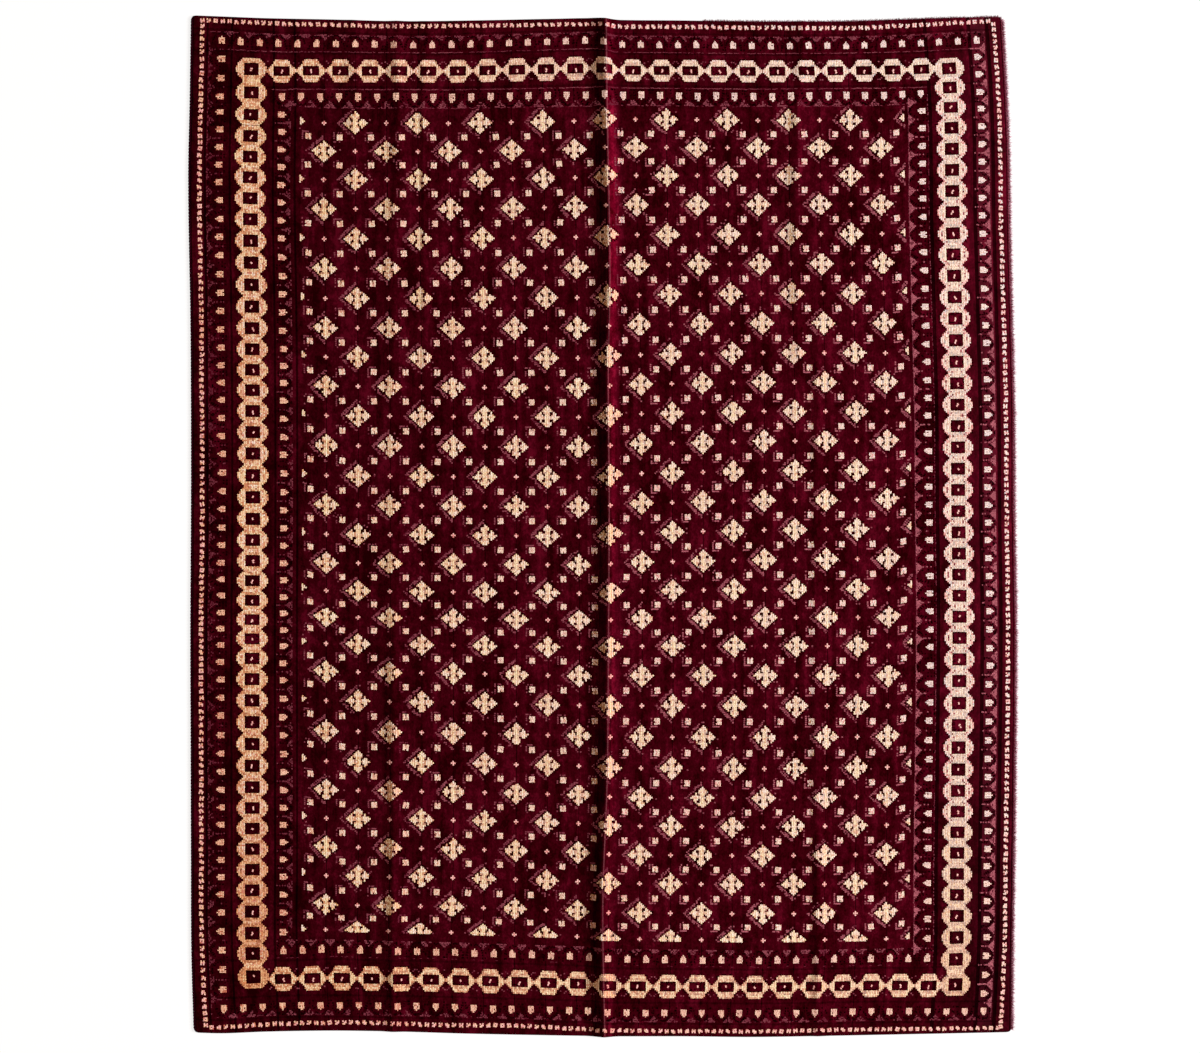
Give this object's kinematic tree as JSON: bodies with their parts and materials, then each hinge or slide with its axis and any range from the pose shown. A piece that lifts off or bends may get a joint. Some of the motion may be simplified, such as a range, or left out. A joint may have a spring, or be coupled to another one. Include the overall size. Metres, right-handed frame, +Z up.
{
  "type": "wool rug",
  "caption": "Rectangular room-size wool rug with overcast side cords, lying flat pile side up with soft lengthwise fold creases.",
  "frame": {"origin": "on the floor, under the middle of the rug", "axes": "+X towards the right-hand long side, +Y towards the head end, +Z up out of the pile"},
  "size_m": [2.4661, 3.0441, 0.0381],
  "materials": {
    "cloth": "matte wool pile, burgundy ground with a cream and mauve design",
    "cord": "dark burgundy wool yarn wound round a cord"
  },
  "bodies": {
    "root": {"rug_cloth": "cloth", "side_cord_left": "cord", "side_cord_right": "cord"}
  },
  "joints": []
}
